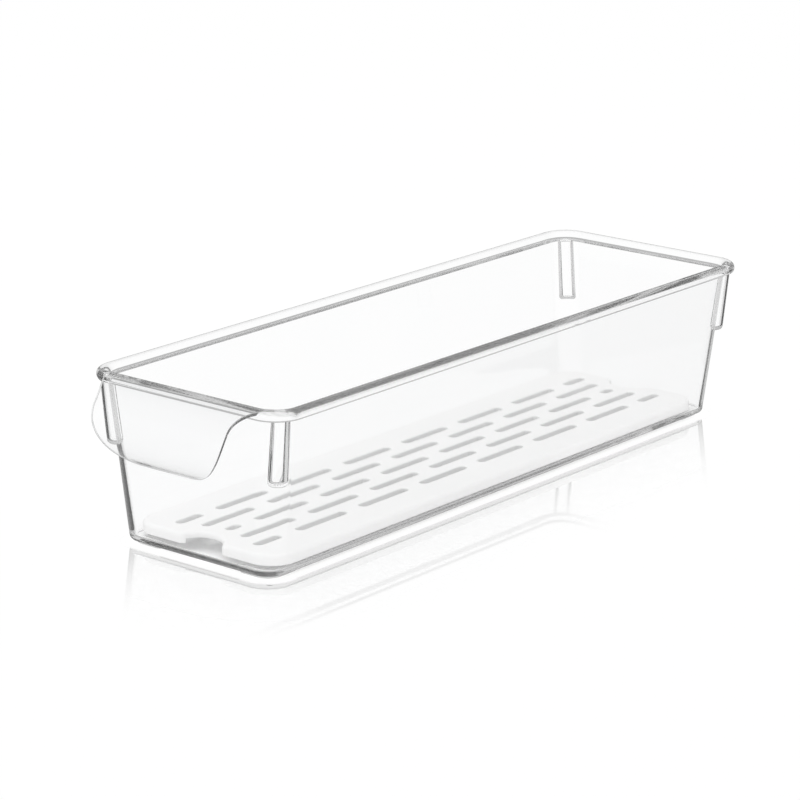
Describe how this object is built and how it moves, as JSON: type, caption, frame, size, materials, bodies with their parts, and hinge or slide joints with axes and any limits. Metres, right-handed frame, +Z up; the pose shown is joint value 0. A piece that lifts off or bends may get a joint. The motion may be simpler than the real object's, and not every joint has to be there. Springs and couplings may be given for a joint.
{
  "type": "fridge storage bin",
  "caption": "Long narrow clear storage bin with a rounded rim, a curled pull lip on its front end and a loose slotted drain tray that lifts out of it.",
  "frame": {"origin": "on the shelf under the feet, at the middle of the box that holds the whole bin with its lip", "axes": "+Z up, +Y from the lip end to the back end, +X to the right seen from the lip end"},
  "size_m": [0.104, 0.3341, 0.072],
  "materials": {
    "clear_plastic": "clear, polished moulding",
    "white_plastic": "satin white moulding"
  },
  "bodies": {
    "bin": {"clear_bin": "clear_plastic"},
    "tray": {"drain_tray": "white_plastic"}
  },
  "joints": [
    {"name": "tray_lift", "type": "slide", "parent": "bin", "child": "tray", "axis": [0, 0, 1], "range_m": [0, 0.08]}
  ]
}
